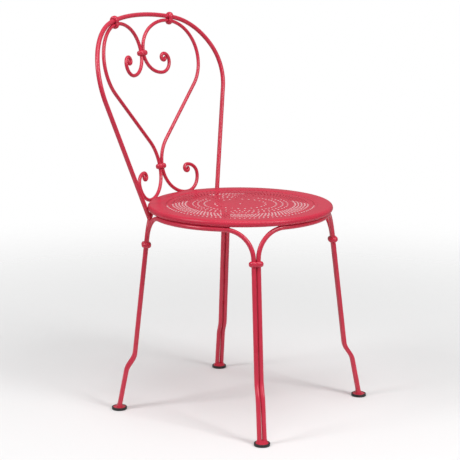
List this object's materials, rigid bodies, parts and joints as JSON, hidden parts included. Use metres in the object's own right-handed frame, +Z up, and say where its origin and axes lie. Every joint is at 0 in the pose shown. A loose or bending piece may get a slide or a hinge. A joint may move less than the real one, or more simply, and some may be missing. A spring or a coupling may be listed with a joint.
{
  "type": "metal bistro chair",
  "caption": "Bent steel rod bistro chair with a scrolled hoop back, a round perforated seat and splayed, cranked legs on small glides.",
  "frame": {"origin": "on the floor, in the middle of the chair's bounding box", "axes": "+Z up, the sitter faces -Y, +X to the sitter's left"},
  "size_m": [0.4542, 0.496, 0.866],
  "materials": {
    "paint_rods": "satin powder coat",
    "paint_collars": "satin powder coat",
    "paint_seat": "satin powder coat",
    "paint_feet": "satin powder coat",
    "glide": "matt"
  },
  "bodies": {
    "root": {"back_hoop": "paint_rods", "front_rod": "paint_rods", "rear_rod": "paint_rods", "side_rod_right": "paint_rods", "side_rod_left": "paint_rods", "scroll_right": "paint_rods", "scroll_left": "paint_rods", "leg_collar_front_right": "paint_collars", "leg_collar_front_left": "paint_collars", "leg_collar_rear_right": "paint_collars", "leg_collar_rear_left": "paint_collars", "upper_middle_collar": "paint_collars", "lower_middle_collar": "paint_collars", "top_collar_right": "paint_collars", "top_collar_left": "paint_collars", "seat": "paint_seat", "foot_plate_front_right": "paint_feet", "foot_plate_front_left": "paint_feet", "foot_plate_rear_right": "paint_feet", "foot_plate_rear_left": "paint_feet", "glide_front_right": "glide", "glide_front_left": "glide", "glide_rear_right": "glide", "glide_rear_left": "glide"}
  },
  "joints": []
}
